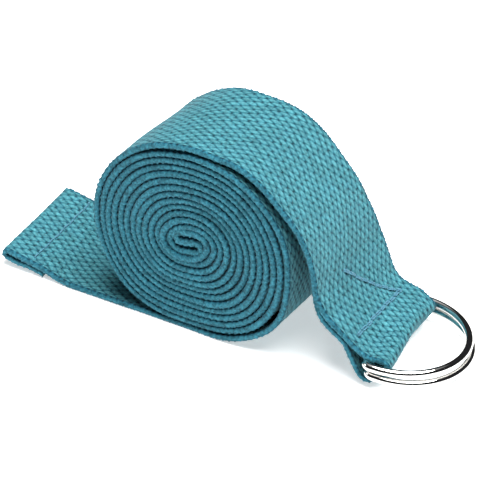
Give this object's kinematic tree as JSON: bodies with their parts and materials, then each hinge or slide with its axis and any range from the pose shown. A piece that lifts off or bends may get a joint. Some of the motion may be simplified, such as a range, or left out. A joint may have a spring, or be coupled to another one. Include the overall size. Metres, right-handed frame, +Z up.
{
  "type": "stretching strap",
  "caption": "Rolled webbing stretching strap with a sewn end loop that holds a pair of D-rings and a hemmed tail.",
  "frame": {"origin": "on the flat underside of the strap's bottom layer, straight under the middle of the roll", "axes": "+X along the strap towards the D-rings, -X towards the hemmed tail, +Y along the roll's axis towards its back face, +Z up"},
  "size_m": [0.1518, 0.0433, 0.0636],
  "materials": {
    "webbing": "teal plain-weave cotton webbing, matte with a soft sheen",
    "thread": "blue sewing thread, satin",
    "metal": "polished nickel plate"
  },
  "bodies": {
    "roll": {"strap_roll": "webbing", "strap_tail_arm": "webbing"},
    "leader": {"strap_leader": "webbing", "strap_ring_loop": "webbing", "strap_loop_flap": "webbing", "loop_stitching": "thread"},
    "tail_end": {"strap_tail_end": "webbing", "hem_stitching": "thread"},
    "ring_upper": {"d_ring_upper": "metal"},
    "ring_lower": {"d_ring_lower": "metal"}
  },
  "joints": [
    {"name": "tail_lift", "type": "hinge", "parent": "roll", "child": "tail_end", "pos_m": [-0.03, 0, 0.0018], "axis": [0, 1, 0], "range_deg": [0, 60]},
    {"name": "leader_lift", "type": "hinge", "parent": "roll", "child": "leader", "pos_m": [0.02045, 0, 0.05986], "axis": [0, -1, 0], "range_deg": [0, 60]},
    {"name": "ring_upper_swing", "type": "hinge", "parent": "leader", "child": "ring_upper", "pos_m": [0.05625, 0.0017, 0.008], "axis": [0.151, -0.9883, 0.0208], "range_deg": [0, 100]},
    {"name": "ring_lower_swing", "type": "hinge", "parent": "leader", "child": "ring_lower", "pos_m": [0.057, 0.002, 0.005], "axis": [0.1423, -0.9897, 0.0173], "range_deg": [0, 40]}
  ],
  "couplings": [
    {"joint": "ring_lower_swing", "follows": "ring_upper_swing", "ratio": 0.4}
  ]
}
